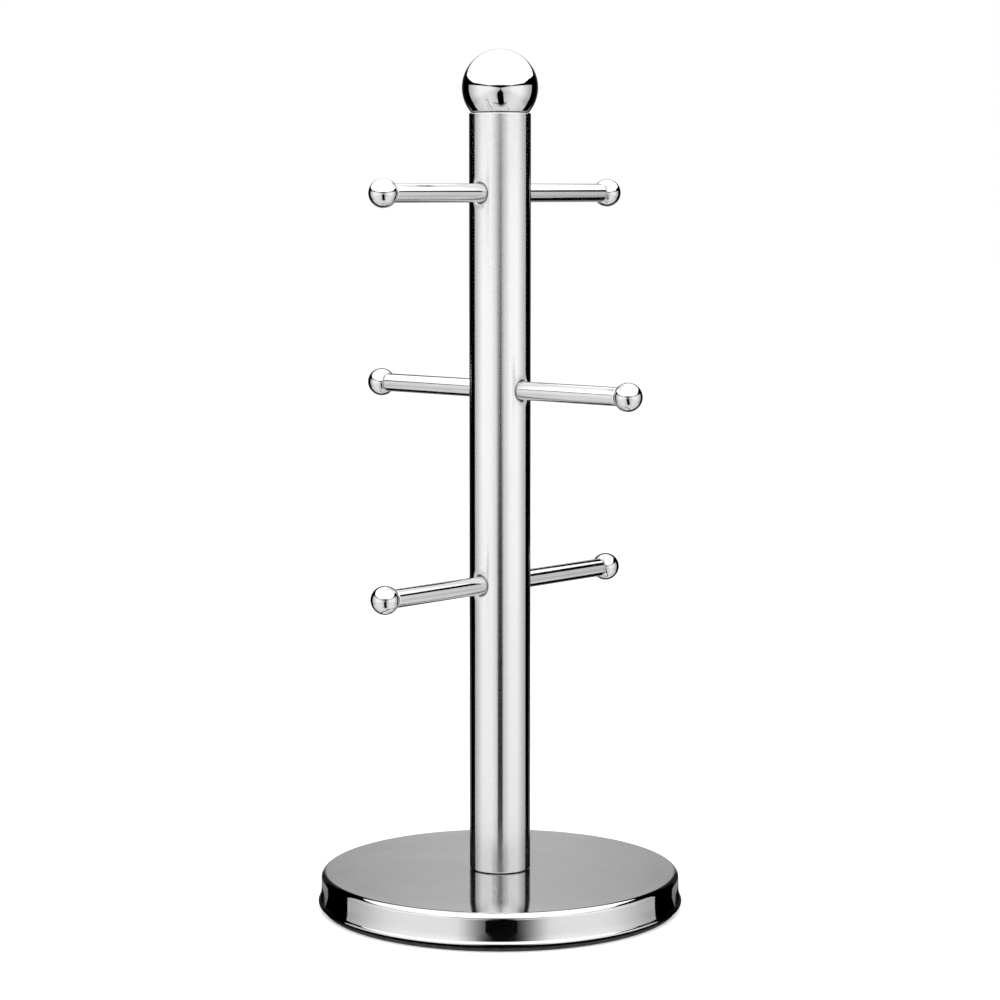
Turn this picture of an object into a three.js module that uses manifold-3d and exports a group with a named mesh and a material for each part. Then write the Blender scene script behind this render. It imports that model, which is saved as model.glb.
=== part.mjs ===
// A mug tree: a steel pole on a weighted round base, with six straight arms that hold mugs by their handles.
//
// From the floor up it is a foot pad, a base plate, an iron weight under a pressed steel cover, and the pole.
// One bolt from below clamps the base to a plug in the pole's foot. The arms sit in opposite pairs on three
// levels. A stud through the pole joins each pair and pulls both arms against the pole's wall. Each arm has a
// small ball on its end, and a large ball closes the pole's mouth.
//
// Millimetres, +Z up. The origin is on the floor, on the pole's axis. The top and bottom pairs of arms lie
// along X and the middle pair along Y.

import * as THREE from "three";
import { mergeVertices } from "three/addons/utils/BufferGeometryUtils.js";
import Module from "manifold-3d";

const wasm = await Module();
wasm.setup();

// What is left between two pieces that touch.
const GAP = 0.3;

// How far a blind bore goes on past what it holds.
const BORE_RUNOUT = 1;

// The base.
const RIM_RADIUS = 75;
const RIM_HEIGHT = 2.95;
const RIM_BEAD = 1.2;
const RIM_BEAD_SWEEP = 66;
const SKIRT_RADIUS = 73.8;
const FLARE_HEIGHT = 8.95;
const BASE_TOP = 15.7;
const SHEET = 0.8;
const CORNER_RADIUS = 2.6;
const CROWN_START = 58;
const CROWN_DROP = 0.55;
const PAD_THICKNESS = 1.4;
const PAD_RADIUS = 72.9;
const PAD_OPENING = 14;
const PLATE_THICKNESS = 4.2;
const RECESS_RADIUS = 11;
const RECESS_TOP = 8;
const RECESS_WALL = 1.8;
const WEIGHT_RADIUS = 62;
const WEIGHT_CHAMFER = 1;

// The pole and the ball on its top.
const POLE_RADIUS = 12.5;
const POLE_WALL = 1.5;
const POLE_TOP = 325;
const POLE_EDGE = 0.4;
const MOUTH_CHAMFER = 1;
const FINIAL_RADIUS = 15.4;
const FINIAL_CENTRE = 335.1;
const BOTTOM_PLUG_LENGTH = 24;
const TOP_PLUG_LENGTH = 19;
const TOP_PLUG_TOP = 319;

// The arms. A reach is measured from the pole's axis.
const ARM_RADIUS = 3.8;
const ARM_EDGE = 0.6;
const ARM_SEAT = 11.9;
const SEAT_RADIUS = 4.2;
const BALL_REACH = 67.2;
const BALL_RADIUS = 5.8;
const BALL_FLAT = 4.3;
const LOWEST_LEVEL = 134.6;
const LEVEL_SPACING = 79.25;

// The fasteners, each with the clearance GAP round its shank.
const BOLT_RADIUS = 3;
const BOLT_LENGTH = 30;
const BOLT_HEAD_RADIUS = 5.25;
const BOLT_HEAD_HEIGHT = 3.3;
const BOLT_FACE_RADIUS = 3.4;
const BOLT_DOME_HEIGHT = 1.9;
const BOLT_CHAMFER = 0.6;
const HEX_ACROSS_FLATS = 4;
const HEX_DEPTH = 2;
const STUD_RADIUS = 2;
const STUD_ENGAGEMENT = 12;
const FINIAL_STUD_LENGTH = 28;
const WASHER_RADIUS = 6;
const WASHER_THICKNESS = 1;
const SPRING_WASHER_RADIUS = 5.3;
const SPRING_WASHER_THICKNESS = 1.4;
const SPRING_WASHER_SLIT = 1.2;

// How finely round shapes are divided.
const BASE_SEGMENTS = 72;
const POLE_SEGMENTS = 48;
const ROD_SEGMENTS = 16;
const BALL_STEPS = 8;
const FINIAL_STEPS = 16;

// Heights that follow from the sizes above.
const PLATE_BOTTOM = PAD_THICKNESS + GAP;
const PLATE_TOP = PLATE_BOTTOM + PLATE_THICKNESS;
const RECESS_CEILING_TOP = RECESS_TOP + RECESS_WALL;
const POLE_BOTTOM = BASE_TOP + GAP;
const WASHER_BOTTOM = RECESS_TOP - GAP - WASHER_THICKNESS;
const SPRING_WASHER_BOTTOM = WASHER_BOTTOM - GAP - SPRING_WASHER_THICKNESS;
const BOLT_SEAT = SPRING_WASHER_BOTTOM - GAP;
const ARM_ROOT = ARM_SEAT + GAP;
const ARM_END = BALL_REACH - BALL_FLAT - GAP;
const ARM_BORE_DEPTH = STUD_ENGAGEMENT + BORE_RUNOUT;
const SPIGOT_END = BALL_REACH + 1;
const FINIAL_STUD_TOP = FINIAL_CENTRE - 3;

const brushedSteel = new THREE.MeshStandardMaterial({ color: 0xb8b9bb, roughness: 0.35, metalness: 1 });
const polishedSteel = new THREE.MeshStandardMaterial({ color: 0xd8d9da, roughness: 0.08, metalness: 1 });
const platedSteel = new THREE.MeshStandardMaterial({ color: 0xa9acaf, roughness: 0.4, metalness: 0.9 });
const castIron = new THREE.MeshStandardMaterial({ color: 0x3c3d3f, roughness: 0.8, metalness: 0.6 });
const blackPlastic = new THREE.MeshStandardMaterial({ color: 0x141415, roughness: 0.6, metalness: 0 });
const blackRubber = new THREE.MeshStandardMaterial({ color: 0x0c0c0d, roughness: 0.9, metalness: 0 });

// A solid for cutting and joining, from a closed geometry.
function toSolid(geometry) {
  geometry.deleteAttribute("normal");
  geometry.deleteAttribute("uv");
  const merged = mergeVertices(geometry, 1e-4);
  const vertProperties = merged.attributes.position.array;
  const triVerts = new Uint32Array(merged.index.array);
  return new wasm.Manifold(new wasm.Mesh({ numProp: 3, vertProperties, triVerts }));
}

// The geometry of a solid.
function toGeometry(solid) {
  const { vertProperties, triVerts } = solid.getMesh();
  const geometry = new THREE.BufferGeometry();
  geometry.setAttribute("position", new THREE.BufferAttribute(vertProperties, 3));
  geometry.setIndex(new THREE.BufferAttribute(triVerts, 1));
  geometry.computeVertexNormals();
  return geometry;
}

// The first geometry with the others taken out of it.
function cut(geometry, ...tools) {
  return toGeometry(tools.reduce((solid, tool) => solid.subtract(toSolid(tool)), toSolid(geometry)));
}

// A round geometry about Z. The outline is a list of [radius, height], with the material on its left.
function turned(outline, segments) {
  const points = outline.map(([radius, height]) => new THREE.Vector2(radius, height));
  return new THREE.LatheGeometry(points, segments).rotateX(Math.PI / 2);
}

// The same, for an outline that closes on itself away from the axis.
function turnedRing(outline, segments) {
  return turned([...outline, outline[0]], segments);
}

// Points of an arc in an outline. The angles are in degrees, anticlockwise from the +radius direction.
function arc(radius, height, size, from, to, steps) {
  return Array.from({ length: steps + 1 }, (_, i) => {
    const angle = THREE.MathUtils.degToRad(THREE.MathUtils.lerp(from, to, i / steps));
    return [radius + size * Math.cos(angle), height + size * Math.sin(angle)];
  });
}

// A plain flat ring.
function ring(inner, outer, bottom, top, segments) {
  return turnedRing([[inner, bottom], [outer, bottom], [outer, top], [inner, top]], segments);
}

// A rod about Z with chamfered ends.
function rod(radius, bottom, top, chamfer) {
  return turned(
    [
      [0, bottom],
      [radius - chamfer, bottom],
      [radius, bottom + chamfer],
      [radius, top - chamfer],
      [radius - chamfer, top],
      [0, top],
    ],
    ROD_SEGMENTS,
  );
}

function mesh(name, geometry, material) {
  const piece = new THREE.Mesh(geometry, material);
  piece.name = name;
  return piece;
}

// The soft ring that the tree stands on.
function footPad() {
  return mesh("foot_pad", ring(PAD_OPENING, PAD_RADIUS, 0, PAD_THICKNESS, BASE_SEGMENTS), blackRubber);
}

// The moulded plate that closes the cover from below, with a recess in the middle for the bolt's head.
function basePlate() {
  const outline = [
    [RECESS_RADIUS, PLATE_BOTTOM],
    [PAD_RADIUS, PLATE_BOTTOM],
    [PAD_RADIUS, PLATE_TOP],
    [RECESS_RADIUS + RECESS_WALL, PLATE_TOP],
    [RECESS_RADIUS + RECESS_WALL, RECESS_CEILING_TOP],
    [BOLT_RADIUS + GAP, RECESS_CEILING_TOP],
    [BOLT_RADIUS + GAP, RECESS_TOP],
    [RECESS_RADIUS, RECESS_TOP],
  ];
  return mesh("base_plate", turnedRing(outline, BASE_SEGMENTS), blackPlastic);
}

// The iron disc between the plate and the cover, with a pocket over the plate's recess.
function baseWeight() {
  const bottom = PLATE_TOP + GAP;
  const top = BASE_TOP - SHEET - GAP;
  const pocketRadius = RECESS_RADIUS + RECESS_WALL + GAP;
  const pocketTop = RECESS_CEILING_TOP + GAP;
  const outline = [
    [pocketRadius, bottom],
    [WEIGHT_RADIUS - WEIGHT_CHAMFER, bottom],
    [WEIGHT_RADIUS, bottom + WEIGHT_CHAMFER],
    [WEIGHT_RADIUS, top - WEIGHT_CHAMFER],
    [WEIGHT_RADIUS - WEIGHT_CHAMFER, top],
    [BOLT_RADIUS + GAP, top],
    [BOLT_RADIUS + GAP, pocketTop],
    [pocketRadius, pocketTop],
  ];
  return mesh("base_weight", turnedRing(outline, BASE_SEGMENTS), castIron);
}

// The pressed cover: a top with a faint crown, a rounded corner, and a skirt that flares to a beaded rim.
function baseCover() {
  const crownEnd = SKIRT_RADIUS - CORNER_RADIUS;
  const crownPoint = (share) => {
    const radius = THREE.MathUtils.lerp(CROWN_START, crownEnd, share);
    return [radius, BASE_TOP - CROWN_DROP * share ** 2];
  };
  const cornerHeight = BASE_TOP - CROWN_DROP - CORNER_RADIUS;
  const beadCentre = RIM_RADIUS - RIM_BEAD;
  const bead = arc(beadCentre, RIM_HEIGHT, RIM_BEAD, -RIM_BEAD_SWEEP, RIM_BEAD_SWEEP, 8);
  const [flareRadius, flareBottom] = bead[bead.length - 1];
  const flarePoint = (share) => [
    THREE.MathUtils.lerp(SKIRT_RADIUS, flareRadius, share ** 2),
    THREE.MathUtils.lerp(FLARE_HEIGHT, flareBottom, share),
  ];
  const inner = SKIRT_RADIUS - SHEET;
  const holeRadius = BOLT_RADIUS + GAP;
  const outline = [
    ...bead,
    flarePoint(2 / 3),
    flarePoint(1 / 3),
    flarePoint(0),
    ...arc(crownEnd, cornerHeight, CORNER_RADIUS, 0, 85, 4),
    crownPoint(0.5),
    crownPoint(0),
    [holeRadius, BASE_TOP],
    [holeRadius, BASE_TOP - SHEET],
    [CROWN_START, BASE_TOP - SHEET],
    ...arc(crownEnd, cornerHeight, CORNER_RADIUS - SHEET, 85, 0, 3),
    [inner, FLARE_HEIGHT],
    [PAD_RADIUS + 2 * GAP, RIM_HEIGHT + RIM_BEAD],
    [PAD_RADIUS + 2 * GAP, RIM_HEIGHT - RIM_BEAD],
  ];
  return mesh("base_cover", turnedRing(outline, BASE_SEGMENTS), brushedSteel);
}

// The bolt from below, with a domed head and a hexagonal socket.
function baseBolt() {
  const headBottom = BOLT_SEAT - BOLT_HEAD_HEIGHT;
  const tip = BOLT_SEAT + BOLT_LENGTH;
  const domePoint = (degrees) => {
    const angle = THREE.MathUtils.degToRad(degrees);
    const radius = BOLT_FACE_RADIUS + (BOLT_HEAD_RADIUS - BOLT_FACE_RADIUS) * Math.sin(angle);
    return [radius, headBottom + BOLT_DOME_HEIGHT * (1 - Math.cos(angle))];
  };
  const outline = [
    [0, headBottom],
    domePoint(0),
    domePoint(30),
    domePoint(60),
    domePoint(90),
    [BOLT_HEAD_RADIUS, BOLT_SEAT],
    [BOLT_RADIUS, BOLT_SEAT],
    [BOLT_RADIUS, tip - BOLT_CHAMFER],
    [BOLT_RADIUS - BOLT_CHAMFER, tip],
    [0, tip],
  ];
  const hexRadius = HEX_ACROSS_FLATS / Math.sqrt(3);
  const socket = new THREE.CylinderGeometry(hexRadius, hexRadius, 2 * HEX_DEPTH, 6);
  socket.rotateX(Math.PI / 2).translate(0, 0, headBottom);
  return mesh("base_bolt", cut(turned(outline, ROD_SEGMENTS * 2), socket), platedSteel);
}

function flatWasher() {
  const top = WASHER_BOTTOM + WASHER_THICKNESS;
  const geometry = ring(BOLT_RADIUS + GAP, WASHER_RADIUS, WASHER_BOTTOM, top, ROD_SEGMENTS * 2);
  return mesh("flat_washer", geometry, platedSteel);
}

// The split spring washer that keeps the bolt from working loose.
function springWasher() {
  const bottom = SPRING_WASHER_BOTTOM;
  const top = bottom + SPRING_WASHER_THICKNESS;
  const whole = ring(BOLT_RADIUS + GAP, SPRING_WASHER_RADIUS, bottom, top, ROD_SEGMENTS * 2);
  const reach = 2 * SPRING_WASHER_RADIUS;
  const slit = new THREE.BoxGeometry(reach, SPRING_WASHER_SLIT, reach);
  slit.translate(reach / 2, 0, bottom);
  return mesh("spring_washer", cut(whole, slit), platedSteel);
}

// The plug in the pole's foot, tapped for the bolt.
function bottomPlug() {
  const radius = POLE_RADIUS - POLE_WALL - GAP;
  const boreTop = BOLT_SEAT + BOLT_LENGTH + BORE_RUNOUT;
  const outline = [
    [0, boreTop],
    [BOLT_RADIUS + GAP, boreTop],
    [BOLT_RADIUS + GAP, POLE_BOTTOM],
    [radius, POLE_BOTTOM],
    [radius, POLE_BOTTOM + BOTTOM_PLUG_LENGTH],
    [0, POLE_BOTTOM + BOTTOM_PLUG_LENGTH],
  ];
  return mesh("pole_bottom_plug", turned(outline, POLE_SEGMENTS), platedSteel);
}

// The plug in the pole's mouth, tapped for the stud of the ball above it.
function topPlug() {
  const radius = POLE_RADIUS - POLE_WALL - GAP;
  const bottom = TOP_PLUG_TOP - TOP_PLUG_LENGTH;
  const geometry = ring(BOLT_RADIUS + GAP, radius, bottom, TOP_PLUG_TOP, POLE_SEGMENTS);
  return mesh("pole_top_plug", geometry, platedSteel);
}

// The pole's tube. Its mouth is chamfered inside for the ball. Each level has a through hole for its stud,
// with a flat seat round both ends of the hole for the arms.
function poleTube(levels) {
  const inner = POLE_RADIUS - POLE_WALL;
  const outline = [
    [inner, POLE_BOTTOM],
    [POLE_RADIUS - POLE_EDGE, POLE_BOTTOM],
    [POLE_RADIUS, POLE_BOTTOM + POLE_EDGE],
    [POLE_RADIUS, POLE_TOP - POLE_EDGE],
    [POLE_RADIUS - POLE_EDGE, POLE_TOP],
    [inner + MOUTH_CHAMFER, POLE_TOP],
    [inner, POLE_TOP - MOUTH_CHAMFER],
  ];
  const tools = [];
  for (const { height, turn } of levels) {
    const length = 4 * POLE_RADIUS;
    const hole = new THREE.CylinderGeometry(STUD_RADIUS + GAP, STUD_RADIUS + GAP, length, ROD_SEGMENTS);
    tools.push(hole.rotateZ(Math.PI / 2).rotateZ(turn).translate(0, 0, height));
    for (const side of [1, -1]) {
      const seat = new THREE.CylinderGeometry(SEAT_RADIUS, SEAT_RADIUS, POLE_RADIUS, ROD_SEGMENTS * 2);
      seat.rotateZ(Math.PI / 2).translate(side * (ARM_SEAT + POLE_RADIUS / 2), 0, 0);
      tools.push(seat.rotateZ(turn).translate(0, 0, height));
    }
  }
  return mesh("pole_tube", cut(turnedRing(outline, POLE_SEGMENTS), ...tools), brushedSteel);
}

// The stud that joins the top plug and the ball.
function finialStud() {
  const bottom = FINIAL_STUD_TOP - FINIAL_STUD_LENGTH;
  return mesh("finial_stud", rod(BOLT_RADIUS, bottom, FINIAL_STUD_TOP, GAP), platedSteel);
}

// The ball that closes the pole's mouth, with a blind tapped bore from below.
function finialBall() {
  const boreRadius = BOLT_RADIUS + GAP;
  const boreTop = FINIAL_STUD_TOP + BORE_RUNOUT;
  const boreEdge = -THREE.MathUtils.radToDeg(Math.acos(boreRadius / FINIAL_RADIUS));
  const outline = [
    [0, boreTop],
    [boreRadius, boreTop],
    ...arc(0, FINIAL_CENTRE, FINIAL_RADIUS, boreEdge, 90, FINIAL_STEPS),
  ];
  outline[outline.length - 1][0] = 0;
  return mesh("finial_ball", turned(outline, 2 * ROD_SEGMENTS), polishedSteel);
}

// The stud through the pole that carries both arms of a level. It lies along the level's X.
function crossStud(level) {
  const reach = ARM_ROOT + STUD_ENGAGEMENT;
  const geometry = rod(STUD_RADIUS, -reach, reach, GAP).rotateY(Math.PI / 2);
  return mesh("cross_stud_" + level, geometry, platedSteel);
}

// One arm along +X: a tapped bore at its root, rounded edges, and a spigot on its end for the ball.
function arm(place) {
  const outline = [
    [0, ARM_ROOT + ARM_BORE_DEPTH],
    [STUD_RADIUS + GAP, ARM_ROOT + ARM_BORE_DEPTH],
    [STUD_RADIUS + GAP, ARM_ROOT],
    ...arc(ARM_RADIUS - ARM_EDGE, ARM_ROOT + ARM_EDGE, ARM_EDGE, -90, 0, 2),
    ...arc(ARM_RADIUS - ARM_EDGE, ARM_END - ARM_EDGE, ARM_EDGE, 0, 90, 2),
    [STUD_RADIUS, ARM_END],
    [STUD_RADIUS, SPIGOT_END],
    [0, SPIGOT_END],
  ];
  return mesh("arm_" + place, turned(outline, ROD_SEGMENTS).rotateY(Math.PI / 2), polishedSteel);
}

// The ball on an arm's end: a flat where it meets the arm, with a blind bore for the spigot.
function armBall(place) {
  const boreEnd = SPIGOT_END + BORE_RUNOUT;
  const flatEdge = -THREE.MathUtils.radToDeg(Math.asin(BALL_FLAT / BALL_RADIUS));
  const outline = [
    [0, boreEnd],
    [STUD_RADIUS + GAP, boreEnd],
    [STUD_RADIUS + GAP, BALL_REACH - BALL_FLAT],
    ...arc(0, BALL_REACH, BALL_RADIUS, flatEdge, 90, BALL_STEPS),
  ];
  outline[outline.length - 1][0] = 0;
  return mesh("arm_ball_" + place, turned(outline, ROD_SEGMENTS).rotateY(Math.PI / 2), polishedSteel);
}

// Each level's first arm points along +X turned by this angle, and its second arm points the other way.
const levels = [
  { name: "bottom", height: LOWEST_LEVEL, turn: Math.PI, sides: ["left", "right"] },
  { name: "middle", height: LOWEST_LEVEL + LEVEL_SPACING, turn: -Math.PI / 2, sides: ["front", "back"] },
  { name: "top", height: LOWEST_LEVEL + 2 * LEVEL_SPACING, turn: Math.PI, sides: ["left", "right"] },
];

const mugTree = new THREE.Group();
mugTree.add(footPad(), basePlate(), baseWeight(), baseCover(), baseBolt(), flatWasher(), springWasher());
mugTree.add(bottomPlug(), topPlug(), poleTube(levels), finialStud(), finialBall());

for (const { name, height, turn, sides } of levels) {
  const level = new THREE.Group();
  level.position.z = height;
  level.rotation.z = turn;
  level.add(crossStud(name));
  sides.forEach((side, index) => {
    const branch = new THREE.Group();
    branch.rotation.z = index * Math.PI;
    branch.add(arm(name + "_" + side), armBall(name + "_" + side));
    level.add(branch);
  });
  mugTree.add(level);
}

export default mugTree;
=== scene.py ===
"""Looks of the mug tree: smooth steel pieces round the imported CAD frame, a white floor and a studio.

Lengths are in metres and angles in degrees unless a name says otherwise. MM turns millimetres into metres.
"""

import math

import bmesh
import bpy
from mathutils import Matrix, Vector


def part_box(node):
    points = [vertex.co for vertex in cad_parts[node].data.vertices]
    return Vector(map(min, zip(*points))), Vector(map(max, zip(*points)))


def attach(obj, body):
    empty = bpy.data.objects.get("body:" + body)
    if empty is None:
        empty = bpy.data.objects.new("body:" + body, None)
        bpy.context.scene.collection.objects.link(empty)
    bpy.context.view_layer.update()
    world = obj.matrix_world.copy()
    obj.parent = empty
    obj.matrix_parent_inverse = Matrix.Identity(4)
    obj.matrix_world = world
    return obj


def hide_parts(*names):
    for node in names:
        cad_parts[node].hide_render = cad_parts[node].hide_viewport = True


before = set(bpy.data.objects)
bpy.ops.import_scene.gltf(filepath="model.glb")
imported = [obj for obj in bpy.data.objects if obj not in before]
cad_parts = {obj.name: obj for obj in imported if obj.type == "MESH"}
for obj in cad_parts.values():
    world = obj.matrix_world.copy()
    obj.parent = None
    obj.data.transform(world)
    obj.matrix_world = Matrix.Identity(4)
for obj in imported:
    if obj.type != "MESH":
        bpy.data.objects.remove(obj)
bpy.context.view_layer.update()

MM = 0.001
BODY = "root"
LEVELS = {"bottom": ("left", "right"), "middle": ("front", "back"), "top": ("left", "right")}

# The camera stands in front of the pole and looks slightly down at it.
CAMERA_AZIMUTH = -47.98
CAMERA_DISTANCE = 1135.7 * MM
CAMERA_HEIGHT = 294.5 * MM
CAMERA_PITCH = 6.327
CAMERA_LENS = 100.83
CAMERA_SENSOR = 36

# The cover's shape, where the frame's boxes don't give it.
SHEET = 0.8 * MM
RIM_BEAD = 1.2 * MM
RIM_BEAD_SWEEP = 66
SKIRT_INSET = 1.2 * MM
FLARE_HEIGHT = 8.95 * MM
CORNER_RADIUS = 2.6 * MM
CROWN_START = 58 * MM
CROWN_DROP = 0.55 * MM
COVER_LIP_INSET = 0.3 * MM
COVER_HOLE = 3.3 * MM

# The foot pad, the plate inside it and the bolt.
PAD_OPENING = 14 * MM
PAD_EDGE = 0.25 * MM
PLATE_THICKNESS = 4.2 * MM
PLATE_EDGE = 0.3 * MM
RECESS_RADIUS = 11 * MM
RECESS_TOP = 8 * MM
RECESS_WALL = 1.8 * MM
BOLT_FACE_RADIUS = 3.4 * MM
BOLT_DOME_HEIGHT = 1.9 * MM
BOLT_HEAD_HEIGHT = 3.3 * MM
BOLT_RADIUS = 3 * MM
BOLT_CHAMFER = 0.6 * MM
HEX_ACROSS_FLATS = 4 * MM
HEX_DEPTH = 2 * MM
HEX_CONE = 0.8 * MM
HEX_MOUTH = 0.15 * MM

# The pole, the dents round the arms' roots, the arms and the ball on the top.
POLE_WALL = 1.5 * MM
POLE_EDGE = 0.4 * MM
MOUTH_CHAMFER = 1 * MM
SEAT_REACH = 11.9 * MM
SEAT_RADIUS = 4.1 * MM
SEAT_EDGE = 4.7 * MM
DENT_RADIUS = 6.8 * MM
DENT_SOFTNESS = 0.06 * MM
DENT_SHARP_SHARE = 0.6
DENT_ROW_HEIGHT = 0.2 * MM
DENT_ROWS = 35
GROOVE_DEPTH = 0.35 * MM
GROOVE_INNER = (3.1 * MM, 3.5 * MM)
GROOVE_OUTER = (3.7 * MM, 4.2 * MM)
ARM_EDGE = 0.6 * MM
GAP = 0.3 * MM
FINIAL_BORE = 3.3 * MM

# How finely round shapes are divided.
BASE_SEGMENTS = 288
PLATE_SEGMENTS = 192
BOLT_SEGMENTS = 96
POLE_SEGMENTS = 288
FINIAL_SEGMENTS = 192
ARM_SEGMENTS = 72
ARM_BALL_SEGMENTS = 96

# Brightness and roughness of the steels, from one end of their grain to the other.
TUBE_TONE = (0.63, 0.67)
TUBE_ROUGHNESS = (0.145, 0.16)
TOP_TONE = (0.57, 0.62)
TOP_ROUGHNESS = (0.09, 0.11)
SKIRT_TONE = (0.575, 0.605)
SKIRT_ROUGHNESS = (0.05, 0.09)
BALL_TONE = (0.6, 0.58)
BALL_ROUGHNESS = (0.025, 0.06)
ROD_TONE = (0.61, 0.66)
ROD_ROUGHNESS = (0.08, 0.13)

# Most values of a noise lie between these two.
GRAIN_SPAN = (0.3, 0.7)

# Tints of steel: the tube and the cover are a touch warm, the balls a touch cool, the bolt a touch yellow.
TUBE_TINT = (1, 0.998, 0.994)
COVER_TINT = (1, 0.999, 0.997)
BALL_TINT = (1, 1, 1.002)
PLATED_TINT = (1, 1, 0.98)

# The floor, and the black disc of painted shade just under the foot.
FLOOR_SIZE = 4
FLOOR_DROP = 0.2 * MM
SHADE_DISC_RADIUS = 88 * MM
SHADE_DISC_DROP = 0.4 * MM
SHADE_DISC_SEGMENTS = 96

# The light tent, in the studio's own directions: to the camera's right, towards the camera, and up.
TENT_HEIGHT = 0.5
TENT_SLOPE = 0.026
TENT_HALF_WIDTH = 0.84
TENT_FRONT = 1.6
TENT_BACK = -0.37
TENT_DEPTH = -1.5
CEILING_NEAR = 1.2
CEILING_LIGHT = 1.9
WALL_FRONT_TOP = 0.38
WALL_BACK_TOP = 0.42
WALL_BACK_LOW = -0.1
WALL_BACK_LEFT = -0.27
WALL_BACK_RIGHT = -0.32
WALL_LIGHT = 1.5
BOTTOM_NEAR = 1.47
BOTTOM_FAR = -0.8
BACKDROP_PLACE = -1.5
BACKDROP_HALF_WIDTH = 1.1
BACKDROP_TOP = 0.9
BACKDROP_BOTTOM = -1

# The gap in the tent's front wall, where the camera looks in: its left and right edges, from the top down.
LEFT_GAP = [(0.04, 0.26), (0.01, 0.1), (-0.17, -0.08), (-0.25, -0.25), (-0.25, -0.45), (-0.2, TENT_DEPTH)]
RIGHT_GAP = [(0.08, 0.26), (0.09, 0.1), (0.24, -0.08), (0.3, -0.25), (0.3, -0.45), (0.5, TENT_DEPTH)]

# The black cards in the gap: left, right, bottom, top, and how far from the pole they stand.
TALL_CARD = (-0.15, 0.16, -0.08, 0.36, 0.5)
LOW_CARD = (-0.035, 0.041, -0.05, 0.009, 0.1)


# ---------------------------------------------------------------- camera


def make_camera():
    azimuth = math.radians(CAMERA_AZIMUTH)
    data = bpy.data.cameras.new("camera")
    data.lens = CAMERA_LENS
    data.sensor_width = CAMERA_SENSOR
    data.clip_start = 0.05
    data.clip_end = 50
    camera = add_object("camera", data)
    camera.location = (
        CAMERA_DISTANCE * math.sin(azimuth),
        -CAMERA_DISTANCE * math.cos(azimuth),
        CAMERA_HEIGHT,
    )
    camera.rotation_euler = (math.radians(90 - CAMERA_PITCH), 0, azimuth)
    bpy.context.scene.camera = camera


# ---------------------------------------------------------------- outlines and meshes


def add_object(name, data):
    item = bpy.data.objects.new(name, data)
    bpy.context.scene.collection.objects.link(item)
    return item


def arc(radius, height, size, start, end, steps):
    """Points of an arc in an outline, anticlockwise from the +radius direction if end is past start."""
    points = []
    for i in range(steps + 1):
        angle = math.radians(start + (end - start) * i / steps)
        points.append((radius + size * math.cos(angle), height + size * math.sin(angle)))
    return points


def supported(outline, closed, reach=0.12 * MM):
    """The outline with an extra point close to both ends of each long straight, to keep flat faces flat."""
    points = []
    count = len(outline)
    for i, here in enumerate(outline):
        points.append(here)
        if i + 1 == count and not closed:
            break
        there = outline[(i + 1) % count]
        length = math.dist(here, there)
        if length > 4 * reach:
            for share in (reach / length, 1 - reach / length):
                points.append(tuple(a + (b - a) * share for a, b in zip(here, there)))
    return points


def turned(name, outline, segments, closed=False, place=None):
    """A round mesh about Z from (radius, height) points with the material on their left, moved by place."""
    outline = supported(outline, closed)
    mesh = bpy.data.meshes.new(name)
    build = bmesh.new()
    rings = []
    for radius, height in outline:
        if radius < 1e-7:
            rings.append([build.verts.new((0, 0, height))] * segments)
            continue
        ring = []
        for k in range(segments):
            angle = 2 * math.pi * k / segments
            ring.append(build.verts.new((radius * math.cos(angle), radius * math.sin(angle), height)))
        rings.append(ring)
    pairs = list(zip(rings, rings[1:]))
    if closed:
        pairs.append((rings[-1], rings[0]))
    for lower, upper in pairs:
        for k in range(segments):
            after = (k + 1) % segments
            corners = [lower[k], lower[after], upper[after], upper[k]]
            corners = [v for i, v in enumerate(corners) if v not in corners[:i]]
            if len(corners) > 2:
                build.faces.new(corners).smooth = True
    build.to_mesh(mesh)
    build.free()
    if place is not None:
        mesh.transform(place)
    return add_object(name, mesh)


def finish_piece(piece, material, slot, *nodes):
    """Gives a new piece its material and its body, and hides the CAD nodes that it stands for. The slot is
    not used.
    """
    piece.data.materials.append(material)
    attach(piece, BODY)
    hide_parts(*nodes)


def smooth_share(value, low, high):
    """0 below low, 1 above high, and a smooth step between them."""
    share = min(1, max(0, (value - low) / (high - low)))
    return share * share * (3 - 2 * share)


# ---------------------------------------------------------------- node helpers


class Wire:
    """A number on its way through a node tree, so that shader sums read as arithmetic."""

    def __init__(self, tree, socket):
        self.tree = tree
        self.socket = socket

    def math(self, operation, *others):
        node = self.tree.nodes.new("ShaderNodeMath")
        node.operation = operation
        for socket, value in zip(node.inputs, (self, *others)):
            plug(self.tree, value, socket)
        return Wire(self.tree, node.outputs[0])

    def __add__(self, other):
        return self.math("ADD", other)

    def __sub__(self, other):
        return self.math("SUBTRACT", other)

    def __mul__(self, other):
        return self.math("MULTIPLY", other)

    def __truediv__(self, other):
        return self.math("DIVIDE", other)

    def __pow__(self, other):
        return self.math("POWER", other)

    def __abs__(self):
        return self.math("ABSOLUTE")

    def flipped(self):
        """One less this number."""
        return (self * -1) + 1

    def step(self, low, high, low_value=0.0, high_value=1.0):
        """A smooth step from one value to another."""
        node = self.tree.nodes.new("ShaderNodeMapRange")
        node.interpolation_type = "SMOOTHSTEP"
        self.tree.links.new(self.socket, node.inputs["Value"])
        values = {"From Min": low, "From Max": high, "To Min": low_value, "To Max": high_value}
        for key, value in values.items():
            node.inputs[key].default_value = value
        return Wire(self.tree, node.outputs["Result"])


def plug(tree, value, socket):
    """Feeds a socket with a wire or a plain number."""
    if isinstance(value, Wire):
        tree.links.new(value.socket, socket)
    else:
        socket.default_value = value


def new_material(name):
    material = bpy.data.materials.new(name)
    material.use_nodes = True
    tree = material.node_tree
    return material, tree, tree.nodes["Principled BSDF"]


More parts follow.
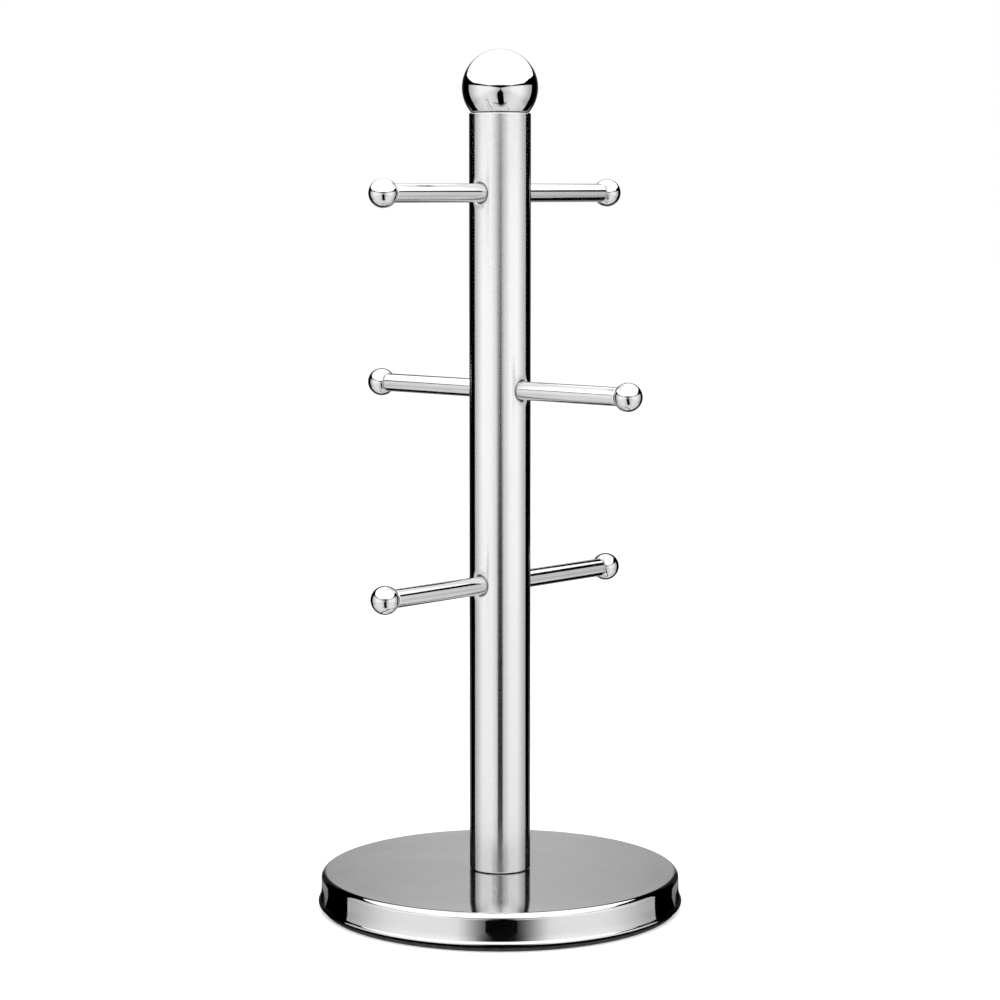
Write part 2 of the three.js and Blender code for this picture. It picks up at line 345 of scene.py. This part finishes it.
def object_point(tree, scale=(1, 1, 1)):
    """The object's own coordinates, stretched by scale."""
    place = tree.nodes.new("ShaderNodeTexCoord")
    mapping = tree.nodes.new("ShaderNodeMapping")
    mapping.inputs["Scale"].default_value = scale
    tree.links.new(place.outputs["Object"], mapping.inputs["Vector"])
    return mapping.outputs["Vector"]


def noise(tree, vector, scale, detail=2.0, roughness=0.5):
    node = tree.nodes.new("ShaderNodeTexNoise")
    node.inputs["Scale"].default_value = scale
    node.inputs["Detail"].default_value = detail
    node.inputs["Roughness"].default_value = roughness
    tree.links.new(vector, node.inputs["Vector"])
    return Wire(tree, node.outputs["Fac"])


def combine(tree, x, y, z):
    node = tree.nodes.new("ShaderNodeCombineXYZ")
    for socket, value in zip(node.inputs, (x, y, z)):
        plug(tree, value, socket)
    return node.outputs["Vector"]


def split(tree, vector):
    node = tree.nodes.new("ShaderNodeSeparateXYZ")
    tree.links.new(vector, node.inputs["Vector"])
    return [Wire(tree, socket) for socket in node.outputs]


def grey(tree, brightness, tint=(1, 1, 1)):
    """A colour from a brightness wire, slightly tinted."""
    node = tree.nodes.new("ShaderNodeCombineColor")
    for socket, share in zip(node.inputs, tint):
        tree.links.new((brightness * share).socket, socket)
    return node.outputs["Color"]


def bump(tree, shader, height, distance):
    node = tree.nodes.new("ShaderNodeBump")
    node.inputs["Distance"].default_value = distance
    tree.links.new(height.socket, node.inputs["Height"])
    tree.links.new(node.outputs["Normal"], shader.inputs["Normal"])


def let_through(tree, shader, share):
    """Mixes a shader with clear air. Where the share's socket gives 1, only air is left."""
    clear = tree.nodes.new("ShaderNodeBsdfTransparent")
    mix = tree.nodes.new("ShaderNodeMixShader")
    tree.links.new(share, mix.inputs["Fac"])
    tree.links.new(shader.outputs["BSDF"], mix.inputs[1])
    tree.links.new(clear.outputs["BSDF"], mix.inputs[2])
    tree.links.new(mix.outputs["Shader"], tree.nodes["Material Output"].inputs["Surface"])


# ---------------------------------------------------------------- materials


def paint(tree, shader, tone, roughness, tint=(1, 1, 1)):
    """Sets a shader's colour and roughness from two wires."""
    tree.links.new(grey(tree, tone, tint), shader.inputs["Base Color"])
    tree.links.new(roughness.socket, shader.inputs["Roughness"])


def axis_distance(x, y):
    return (x * x + y * y) ** 0.5


def ring_grain(tree, along, across):
    """Fine lines round Z: noise that is slow round the axis and quick in radius and height."""
    x, y, z = split(tree, object_point(tree))
    radius = axis_distance(x, y)
    safe_radius = radius.math("MAXIMUM", 0.1 * MM)
    vector = combine(
        tree,
        x / safe_radius * along,
        y / safe_radius * along,
        z * across + radius * across,
    )
    return noise(tree, vector, 1.0, 3.0, 0.6)


def brush_round(tree, shader):
    """Spreads reflections across a grain that runs round Z, as a brush leaves it on a piece that turns."""
    node = tree.nodes.new("ShaderNodeTangent")
    node.direction_type = "RADIAL"
    node.axis = "Z"
    tree.links.new(node.outputs["Tangent"], shader.inputs["Tangent"])
    shader.inputs["Metallic"].default_value = 1
    shader.inputs["Anisotropic"].default_value = 1
    shader.inputs["Anisotropic Rotation"].default_value = 0.25


def brushed_tube_material():
    """Satin stainless tube, brushed round its axis."""
    material, tree, shader = new_material("brushed_tube")
    grain = ring_grain(tree, 3.0, 5200)
    patches = noise(tree, object_point(tree, (1, 1, 0.4)), 60, 3).step(0.35, 0.65, -0.006, 0.006)
    brush_round(tree, shader)
    tone = grain.step(*GRAIN_SPAN, *TUBE_TONE) + patches
    paint(tree, shader, tone, grain.step(*GRAIN_SPAN, *TUBE_ROUGHNESS), TUBE_TINT)
    bump(tree, shader, grain, 0.0002 * MM)
    return material


def cover_material(flat_edge):
    """One pressed sheet: the top is brushed round its centre, and the corner and skirt are polished."""
    material, tree, shader = new_material("base_cover_steel")
    x, y, _ = split(tree, object_point(tree))
    polished = axis_distance(x, y).step(flat_edge - 0.5 * MM, flat_edge + 0.3 * MM)
    grain = ring_grain(tree, 4.0, 4200)
    patches = noise(tree, object_point(tree), 50, 4, 0.6).step(*GRAIN_SPAN, -0.018, 0.018)
    brush_round(tree, shader)

    def blend(top, skirt):
        return top + (skirt - top) * polished

    tone = blend(grain.step(*GRAIN_SPAN, *TOP_TONE) + patches, grain.step(*GRAIN_SPAN, *SKIRT_TONE))
    rough = blend(grain.step(*GRAIN_SPAN, *TOP_ROUGHNESS), grain.step(*GRAIN_SPAN, *SKIRT_ROUGHNESS))
    paint(tree, shader, tone, rough, COVER_TINT)
    bump(tree, shader, grain * polished.flipped(), 0.0006 * MM)
    return material


def ball_material():
    """Mirror-polished stainless with the faint haze that handling leaves."""
    material, tree, shader = new_material("polished_ball")
    haze = noise(tree, object_point(tree), 140, 4, 0.6)
    waves = noise(tree, object_point(tree), 90, 1)
    shader.inputs["Metallic"].default_value = 1
    paint(tree, shader, haze.step(0.35, 0.7, *BALL_TONE), haze.step(0.4, 0.75, *BALL_ROUGHNESS), BALL_TINT)
    bump(tree, shader, waves, 0.01 * MM)
    return material


def rod_material():
    """Drawn and polished rod: a mirror with a slight grain along its length."""
    material, tree, shader = new_material("polished_rod")
    x, y, z = split(tree, object_point(tree))
    haze = noise(tree, combine(tree, axis_distance(x, y) * 60, z * 900, 1), 1.0, 3, 0.6)
    shader.inputs["Metallic"].default_value = 1
    paint(tree, shader, haze.step(*GRAIN_SPAN, *ROD_TONE), haze.step(*GRAIN_SPAN, *ROD_ROUGHNESS))
    return material


def dull_material(name, tone, spread, rough, metallic, scale, depth, tint=(1, 1, 1)):
    """A plain worn surface for rubber, plastic, cast iron and plated steel, mottled in colour and gloss."""
    material, tree, shader = new_material(name)
    mottle = noise(tree, object_point(tree), scale, 5, 0.6)
    fine = noise(tree, object_point(tree), scale * 6, 3, 0.6)
    shader.inputs["Metallic"].default_value = metallic
    colour = mottle.step(*GRAIN_SPAN, tone - spread, tone + spread)
    paint(tree, shader, colour, fine.step(*GRAIN_SPAN, rough - 0.06, rough + 0.06), tint)
    bump(tree, shader, fine, depth)
    return material


# ---------------------------------------------------------------- base


def make_cover():
    """The pressed cover, with its crown, corner, flare and rolled rim as true curves."""
    lo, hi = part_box("base_cover")
    rim = hi.x
    top = hi.z
    skirt = rim - SKIRT_INSET
    crown_end = skirt - CORNER_RADIUS
    corner_height = top - CROWN_DROP - CORNER_RADIUS
    bead_centre = (rim - RIM_BEAD, lo.z + RIM_BEAD)
    bead = arc(*bead_centre, RIM_BEAD, -RIM_BEAD_SWEEP, RIM_BEAD_SWEEP, 24)
    flare_radius, flare_bottom = bead[-1]

    def flare(share):
        radius = skirt + (flare_radius - skirt) * share**2
        return radius, FLARE_HEIGHT + (flare_bottom - FLARE_HEIGHT) * share

    def crown(share):
        radius = CROWN_START + (crown_end - CROWN_START) * share
        return radius, top - CROWN_DROP * share**2

    crown_slope = math.degrees(math.atan(2 * CROWN_DROP / (crown_end - CROWN_START)))
    inside = skirt - SHEET
    lip = rim - RIM_BEAD - COVER_LIP_INSET
    outline = [
        *bead,
        *[flare(1 - i / 16) for i in range(1, 17)],
        *arc(crown_end, corner_height, CORNER_RADIUS, 0, 90 - crown_slope, 16),
        *[crown(1 - i / 10) for i in range(1, 11)],
        (COVER_HOLE, top),
        (COVER_HOLE, top - SHEET),
        (CROWN_START, top - SHEET),
        *arc(crown_end, corner_height, CORNER_RADIUS - SHEET, 90 - crown_slope, 0, 8),
        (inside, FLARE_HEIGHT),
        (lip, bead_centre[1] + RIM_BEAD),
        (lip, lo.z),
    ]
    cover = turned("base_cover_sheet", outline, BASE_SEGMENTS, closed=True)
    finish_piece(cover, cover_material(crown_end), "brushed_stainless", "base_cover")


def make_foot(rubber):
    """The soft ring under the base, with rounded edges."""
    lo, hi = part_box("foot_pad")
    outline = [
        (PAD_OPENING, lo.z),
        *arc(hi.x - PAD_EDGE, lo.z + PAD_EDGE, PAD_EDGE, -90, 0, 5),
        *arc(hi.x - PAD_EDGE, hi.z - PAD_EDGE, PAD_EDGE, 0, 90, 5),
        (PAD_OPENING, hi.z),
    ]
    pad = turned("foot_pad_ring", outline, BASE_SEGMENTS, closed=True)
    finish_piece(pad, rubber, "black_rubber", "foot_pad")


def make_plate(plastic):
    """The moulded plate, with a recess for the bolt's head."""
    lo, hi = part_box("base_plate")
    flange_top = lo.z + PLATE_THICKNESS
    boss = RECESS_RADIUS + RECESS_WALL
    outline = [
        *arc(RECESS_RADIUS + PLATE_EDGE, lo.z + PLATE_EDGE, PLATE_EDGE, 180, 270, 5),
        (hi.x, lo.z),
        (hi.x, flange_top),
        (boss, flange_top),
        (boss, hi.z),
        (COVER_HOLE, hi.z),
        (COVER_HOLE, RECESS_TOP),
        (RECESS_RADIUS, RECESS_TOP),
    ]
    plate = turned("base_plate_moulding", outline, PLATE_SEGMENTS, closed=True)
    finish_piece(plate, plastic, "black_plastic", "base_plate")


def bolt_rings(lo, hi):
    """Rings of (radius, height) from the socket's end, over the domed head, to the shank's tip."""
    apothem = HEX_ACROSS_FLATS / 2
    seat = lo.z + BOLT_HEAD_HEIGHT
    turns = [2 * math.pi * k / BOLT_SEGMENTS for k in range(BOLT_SEGMENTS)]

    def round_ring(radius, height):
        return [(radius, height)] * BOLT_SEGMENTS

    def hexagon(height):
        return [(apothem / math.cos(turn % (math.pi / 3) - math.pi / 6), height) for turn in turns]

    def dome(degrees):
        angle = math.radians(degrees)
        radius = BOLT_FACE_RADIUS + (hi.x - BOLT_FACE_RADIUS) * math.sin(angle)
        return round_ring(radius, lo.z + BOLT_DOME_HEIGHT * (1 - math.cos(angle)))

    return [
        hexagon(lo.z + HEX_DEPTH),
        hexagon(lo.z + HEX_MOUTH),
        hexagon(lo.z),
        *[dome(9 * i) for i in range(11)],
        round_ring(hi.x, seat),
        round_ring(BOLT_RADIUS, seat),
        round_ring(BOLT_RADIUS, hi.z - BOLT_CHAMFER),
        round_ring(BOLT_RADIUS - BOLT_CHAMFER, hi.z),
    ]


def make_bolt(plated):
    """The bolt, with a domed head and a hexagonal socket that ends in a shallow cone."""
    lo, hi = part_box("base_bolt")
    mesh = bpy.data.meshes.new("base_bolt_head")
    build = bmesh.new()
    layers = []
    for ring in bolt_rings(lo, hi):
        layer = []
        for k, (radius, height) in enumerate(ring):
            turn = 2 * math.pi * k / BOLT_SEGMENTS
            layer.append(build.verts.new((radius * math.cos(turn), radius * math.sin(turn), height)))
        layers.append(layer)
    for lower, upper in zip(layers, layers[1:]):
        for k in range(BOLT_SEGMENTS):
            after = (k + 1) % BOLT_SEGMENTS
            build.faces.new((lower[k], lower[after], upper[after], upper[k]))
    socket_end = build.verts.new((0, 0, lo.z + HEX_DEPTH + HEX_CONE))
    tip = build.verts.new((0, 0, hi.z))
    for k in range(BOLT_SEGMENTS):
        after = (k + 1) % BOLT_SEGMENTS
        build.faces.new((layers[0][after], layers[0][k], socket_end))
        build.faces.new((layers[-1][k], layers[-1][after], tip))
    build.to_mesh(mesh)
    build.free()
    finish_piece(add_object("base_bolt_head", mesh), plated, "plated_steel", "base_bolt")


# ---------------------------------------------------------------- pole, arms and balls


def arm_facts(node):
    """Where a piece of an arm lies: its turn about Z, height, nearest reach, furthest reach and radius."""
    lo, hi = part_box(node)
    centre = (lo + hi) / 2
    across = (hi - lo) / 2
    along_x = abs(centre.x) > abs(centre.y)
    middle, half = (centre.x, across.x) if along_x else (centre.y, across.y)
    turn = math.atan2(centre.y, centre.x)
    return turn, centre.z, abs(middle) - half, abs(middle) + half, across.z


def arm_place(turn, height):
    """Lays a mesh made about Z along its arm, so that its own height becomes the reach from the axis."""
    return (
        Matrix.Translation((0, 0, height))
        @ Matrix.Rotation(turn, 4, "Z")
        @ Matrix.Rotation(math.pi / 2, 4, "Y")
    )


def make_arm(level, side, rod, mirror):
    """An arm's rod, which reaches across the gap to its seat, and the ball on its end."""
    node = f"arm_{level}_{side}"
    ball_node = f"arm_ball_{level}_{side}"
    turn, height, root, _, radius = arm_facts(node)
    _, _, flat, tip, ball_radius = arm_facts(ball_node)
    root -= GAP
    inner = radius - ARM_EDGE
    outline = [
        (0, root),
        *arc(inner, root + ARM_EDGE, ARM_EDGE, -90, 0, 8),
        *arc(inner, flat - ARM_EDGE, ARM_EDGE, 0, 90, 8),
        (0, flat),
    ]
    piece = turned(f"{node}_rod", outline, ARM_SEGMENTS, place=arm_place(turn, height))
    finish_piece(piece, rod, "polished_stainless", node)

    centre = tip - ball_radius
    flat_angle = -math.degrees(math.asin((centre - flat) / ball_radius))
    outline = [(0, flat), *arc(0, centre, ball_radius, flat_angle, 90, 40)]
    outline[-1] = (0, tip)
    ball = turned(f"{ball_node}_knob", outline, ARM_BALL_SEGMENTS, place=arm_place(turn, height))
    finish_piece(ball, mirror, "polished_stainless", ball_node)


def make_finial(mirror):
    """The large ball. Its lower end sits in the pole's mouth and is flat where the stud goes in."""
    lo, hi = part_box("finial_ball")
    radius = hi.x
    low_angle = -math.degrees(math.acos(FINIAL_BORE / radius))
    outline = [(0, lo.z), *arc(0, hi.z - radius, radius, low_angle, 90, 96)]
    outline[-1] = (0, hi.z)
    ball = turned("finial_ball_knob", outline, FINIAL_SEGMENTS)
    finish_piece(ball, mirror, "polished_stainless", "finial_ball")


def dent(radius, turn, height, dents):
    """How far, and which way, a point of the pole's wall is pressed in by the arms' roots."""
    moved = Vector((0, 0, 0))
    for dent_turn, dent_height in dents:
        sideways = radius * math.sin(turn - dent_turn)
        outwards = radius * math.cos(turn - dent_turn)
        away = math.hypot(sideways, height - dent_height)
        if outwards < 0 or away > DENT_RADIUS:
            continue
        past_seat = DENT_SOFTNESS * math.log1p(math.exp((outwards - SEAT_REACH) / DENT_SOFTNESS))
        sharp = DENT_SHARP_SHARE * smooth_share(away, SEAT_RADIUS, SEAT_EDGE)
        wide = (1 - DENT_SHARP_SHARE) * smooth_share(away, SEAT_RADIUS, DENT_RADIUS)
        groove = smooth_share(away, *GROOVE_INNER) * (1 - smooth_share(away, *GROOVE_OUTER))
        depth = past_seat * (1 - sharp - wide) + GROOVE_DEPTH * groove
        moved -= depth * Vector((math.cos(dent_turn), math.sin(dent_turn), 0))
    return moved


def make_pole():
    """The tube, with a rounded lip and foot, and a flattened dent round the root of each arm."""
    lo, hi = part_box("pole_tube")
    radius = hi.x
    dents = []
    for level, sides in LEVELS.items():
        for side in sides:
            turn, height, *_ = arm_facts(f"arm_{level}_{side}")
            dents.append((turn, height))
    heights = []
    for dent_height in sorted({height for _, height in dents}):
        rows = range(-DENT_ROWS, DENT_ROWS + 1)
        heights += [dent_height + row * DENT_ROW_HEIGHT for row in rows]
    inside = radius - POLE_WALL
    outline = [
        (inside, lo.z),
        *arc(radius - POLE_EDGE, lo.z + POLE_EDGE, POLE_EDGE, -90, 0, 8),
        *[(radius, height) for height in heights],
        *arc(radius - POLE_EDGE, hi.z - POLE_EDGE, POLE_EDGE, 0, 90, 6),
        (inside + MOUTH_CHAMFER, hi.z),
        (inside, hi.z - MOUTH_CHAMFER),
    ]
    tube = turned("pole_tube_wall", outline, POLE_SEGMENTS, closed=True)
    for vertex in tube.data.vertices:
        flat_radius = math.hypot(vertex.co.x, vertex.co.y)
        if flat_radius > radius - POLE_EDGE / 2:
            turn = math.atan2(vertex.co.y, vertex.co.x)
            vertex.co += dent(flat_radius, turn, vertex.co.z, dents)
    finish_piece(tube, brushed_tube_material(), "brushed_stainless", "pole_tube")


def dress_inner_nodes(iron, plated):
    """The pieces inside stay as the CAD made them, with better materials."""
    finishes = {"base_weight": iron}
    for name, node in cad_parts.items():
        if node.hide_render:
            continue
        node.data.materials.clear()
        node.data.materials.append(finishes.get(name, plated))


# ---------------------------------------------------------------- studio


def facing_camera(x, y, z):
    """A point of the studio: x to the camera's right, y from the pole towards the camera, z up."""
    azimuth = math.radians(CAMERA_AZIMUTH)
    right = Vector((math.cos(azimuth), math.sin(azimuth), 0))
    towards = Vector((math.sin(azimuth), -math.cos(azimuth), 0))
    return right * x + towards * y + Vector((0, 0, z))


def studio_point(tree):
    """The wires of a shaded point's place in the studio: right, towards, up."""
    place = tree.nodes.new("ShaderNodeNewGeometry")
    mapping = tree.nodes.new("ShaderNodeMapping")
    mapping.inputs["Rotation"].default_value[2] = -math.radians(CAMERA_AZIMUTH)
    tree.links.new(place.outputs["Position"], mapping.inputs["Vector"])
    right, away, up = split(tree, mapping.outputs["Vector"])
    return right, away * -1, up


def glow_material(name, brightness):
    """A material that only gives light. brightness makes a wire from the place: right, towards, up."""
    material, tree, shader = new_material(name)
    tree.nodes.remove(shader)
    glow = tree.nodes.new("ShaderNodeEmission")
    tree.links.new(grey(tree, brightness(*studio_point(tree))), glow.inputs["Color"])
    tree.links.new(glow.outputs["Emission"], tree.nodes["Material Output"].inputs["Surface"])
    return material


def black_material(name):
    material, tree, shader = new_material(name)
    tree.links.new(grey(tree, noise(tree, object_point(tree), 9) * 0.004), shader.inputs["Base Color"])
    shader.inputs["Roughness"].default_value = 1
    shader.inputs["Specular IOR Level"].default_value = 0
    return material, tree, shader


def add_sheet(name, points, material):
    """One flat stage sheet."""
    mesh = bpy.data.meshes.new(name)
    mesh.from_pydata(points, [], [tuple(range(len(points)))])
    mesh.materials.append(material)
    sheet = add_object(name, mesh)
    return sheet


def add_studio_sheet(name, corners, material):
    """One flat sheet of the studio. Only reflections and shadows know about it, not the camera."""
    sheet = add_sheet(name, [facing_camera(*corner) for corner in corners], material)
    sheet.visible_camera = False
    return sheet


def make_floor():
    """A plain white floor, clear from below, so that the underside can be seen.

    Away from the base its glow rises until it is as white as the world behind it.
    """
    material, tree, shader = new_material("floor_white")
    tone = noise(tree, object_point(tree), 3, 2).step(*GRAIN_SPAN, 0.9, 0.92)
    tree.links.new(grey(tree, tone), shader.inputs["Base Color"])
    shader.inputs["Roughness"].default_value = 0.9
    shader.inputs["Specular IOR Level"].default_value = 0
    shader.inputs["Emission Color"].default_value = (1, 1, 1, 1)
    x, y, _ = split(tree, object_point(tree))
    glow = (x * x + y * y).step(0.05, 0.4, 0.35, 1.1)
    tree.links.new(glow.socket, shader.inputs["Emission Strength"])
    let_through(tree, shader, tree.nodes.new("ShaderNodeNewGeometry").outputs["Backfacing"])
    corners = [(-1, -1), (1, -1), (1, 1), (-1, 1)]
    points = [(x * FLOOR_SIZE, y * FLOOR_SIZE, 0) for x, y in corners]
    floor = add_sheet("floor", points, material)
    floor.location.z = -FLOOR_DROP
    floor.visible_glossy = False


def make_painted_shade_disc():
    """A black disc just under the foot, seen only in reflections: painted shade that stands in for the dark
    floor under the base, which the lower half of the rim mirrors.
    """
    turns = [2 * math.pi * i / SHADE_DISC_SEGMENTS for i in range(SHADE_DISC_SEGMENTS)]
    points = [(SHADE_DISC_RADIUS * math.cos(turn), SHADE_DISC_RADIUS * math.sin(turn), -SHADE_DISC_DROP) for turn in turns]
    material, _, _ = black_material("painted_shade_black")
    painted_shade_disc = add_sheet("painted_shade_disc", points, material)
    painted_shade_disc.visible_camera = False
    painted_shade_disc.visible_diffuse = False
    painted_shade_disc.visible_shadow = False


def make_ceiling():
    """A bright ceiling that falls a little towards the camera, with its back corners cut off."""

    def brightness(right, towards, up):
        return abs(right).step(0.5, TENT_HALF_WIDTH, CEILING_LIGHT, CEILING_LIGHT * 0.9)

    side = TENT_HALF_WIDTH
    outline = [
        (-side, CEILING_NEAR),
        (side, CEILING_NEAR),
        (side, 0.2),
        (0.53, -0.07),
        (0.41, TENT_BACK),
        (-0.42, TENT_BACK),
        (-side, 0.04),
    ]
    corners = [(x, y, TENT_HEIGHT - TENT_SLOPE * (y - TENT_BACK)) for x, y in outline]
    add_studio_sheet("tent_ceiling", corners, glow_material("tent_ceiling", brightness))


def make_walls():
    """Bright front walls with the camera's gap between them, and side walls that stop short of the back.

    They are dimmer next to the gap, at their far ends and low down.
    """

    def brightness(right, towards, up):
        turn = right.math("ARCTAN2", towards) * (180 / math.pi)
        near_gap = abs(turn - 3.5).step(9, 38, 0.72, 1.0)
        far_end = abs(turn).step(60, 112) * up.step(-0.35, -0.15, 0.25, 0.55)
        low = up.step(-0.15, 0.15).flipped() * 0.17
        return near_gap * far_end.flipped() * low.flipped() * WALL_LIGHT

    material = glow_material("tent_walls", brightness)
    halves = (
        ("left", LEFT_GAP, -TENT_HALF_WIDTH, WALL_BACK_LEFT),
        ("right", RIGHT_GAP, TENT_HALF_WIDTH, WALL_BACK_RIGHT),
    )
    for name, gap, edge, back in halves:
        front = [*gap, (edge, TENT_DEPTH), (edge, WALL_FRONT_TOP)]
        add_studio_sheet(f"tent_front_{name}", [(x, TENT_FRONT, z) for x, z in front], material)
        side = [
            (TENT_FRONT, TENT_DEPTH),
            (TENT_FRONT, WALL_FRONT_TOP),
            (back, WALL_BACK_TOP),
            (back, WALL_BACK_LOW),
            (BOTTOM_FAR, TENT_DEPTH),
        ]
        add_studio_sheet(f"tent_side_{name}", [(edge, y, z) for y, z in side], material)


def make_tent_bottom():
    """A sheet far below, dark near the camera's gap and bright elsewhere."""

    def brightness(right, towards, up):
        return axis_distance(right - 0.15, towards - 1.5).step(0.1, 0.7, 0.0, 1.1)

    outline = [(-1, BOTTOM_NEAR), (1, BOTTOM_NEAR), (1, BOTTOM_FAR), (-1, BOTTOM_FAR)]
    corners = [(x * TENT_HALF_WIDTH, y, TENT_DEPTH) for x, y in outline]
    add_studio_sheet("tent_bottom", corners, glow_material("tent_bottom", brightness))


def make_backdrop():
    """The wall behind, which the base's top mirrors. Its outer ends stay dark for the pole's dark edges."""

    def brightness(right, towards, up):
        aside = abs(right)
        centre = aside.step(0.2, 0.6).flipped()
        falloff = aside.step(0.02, 0.2, 1.0, 0.8)
        middle = up.step(-0.6, 0.1, 0.37, 0.61) * falloff + up.step(0.4, 0.7, 0.0, 0.16)
        ends = up.step(-0.3, -0.15, 0.27, 0.02)
        return centre * middle + centre.flipped() * ends

    outline = [(-1, BACKDROP_BOTTOM), (1, BACKDROP_BOTTOM), (1, BACKDROP_TOP), (-1, BACKDROP_TOP)]
    corners = [(x * BACKDROP_HALF_WIDTH, BACKDROP_PLACE, z) for x, z in outline]
    add_studio_sheet("backdrop", corners, glow_material("backdrop", brightness))


def add_card(name, card_place, material):
    left, right, bottom, top, place = card_place
    corners = [(left, bottom), (right, bottom), (right, top), (left, top)]
    card = add_studio_sheet(name, [(x, place, z) for x, z in corners], material)
    card.visible_diffuse = False
    card.visible_shadow = False


def make_cards():
    """Two black cards with soft sides in the gap of the tent, seen only in reflections.

    The tall one darkens the middle of the pole, less and less towards the top. The low one darkens the
    middle of the skirt.
    """
    material, tree, shader = black_material("card_tall")
    right, _, up = studio_point(tree)
    side = abs(right - 0.005).step(0.02, 0.155)
    cover = side.flipped() * up.step(0.05, 0.33, 0.85, 0.25) * up.step(-0.08, 0.04)
    let_through(tree, shader, cover.flipped().socket)
    add_card("tall_card", TALL_CARD, material)

    material, tree, shader = black_material("card_low")
    right, _, _ = studio_point(tree)
    let_through(tree, shader, abs(right - 0.003).step(0.004, 0.036).socket)
    add_card("low_card", LOW_CARD, material)


def make_world():
    """White for the camera, greyer far overhead, and darkness outside the tent for everything else."""
    world = bpy.data.worlds.new("studio")
    bpy.context.scene.world = world
    world.use_nodes = True
    tree = world.node_tree
    tree.nodes.clear()
    dark = tree.nodes.new("ShaderNodeBackground")
    dark.inputs["Color"].default_value = (0, 0, 0, 1)
    white = tree.nodes.new("ShaderNodeBackground")
    place = tree.nodes.new("ShaderNodeTexCoord")
    _, _, up = split(tree, place.outputs["Generated"])
    tree.links.new(grey(tree, up.step(0.15, 0.4, 1.0, 0.5)), white.inputs["Color"])
    path = tree.nodes.new("ShaderNodeLightPath")
    mix = tree.nodes.new("ShaderNodeMixShader")
    output = tree.nodes.new("ShaderNodeOutputWorld")
    tree.links.new(path.outputs["Is Camera Ray"], mix.inputs["Fac"])
    tree.links.new(dark.outputs["Background"], mix.inputs[1])
    tree.links.new(white.outputs["Background"], mix.inputs[2])
    tree.links.new(mix.outputs["Shader"], output.inputs["Surface"])

    view = bpy.context.scene.view_settings
    view.view_transform = "Standard"
    view.look = "None"


def main():
    make_camera()
    rubber = dull_material("foot_rubber", 0.04, 0.012, 0.65, 0, 300, 0.02 * MM)
    plastic = dull_material("moulded_plastic", 0.06, 0.012, 0.45, 0, 220, 0.01 * MM)
    iron = dull_material("cast_iron", 0.07, 0.02, 0.75, 0.7, 180, 0.06 * MM)
    plated = dull_material("plated_steel", 0.55, 0.04, 0.34, 1, 260, 0.004 * MM, PLATED_TINT)
    mirror = ball_material()
    rod = rod_material()
    make_cover()
    make_foot(rubber)
    make_pole()
    make_finial(mirror)
    for level, sides in LEVELS.items():
        for side in sides:
            make_arm(level, side, rod, mirror)
    make_plate(plastic)
    make_bolt(plated)
    dress_inner_nodes(iron, plated)
    make_floor()
    make_ceiling()
    make_walls()
    make_tent_bottom()
    make_backdrop()
    make_cards()
    make_painted_shade_disc()
    make_world()


main()
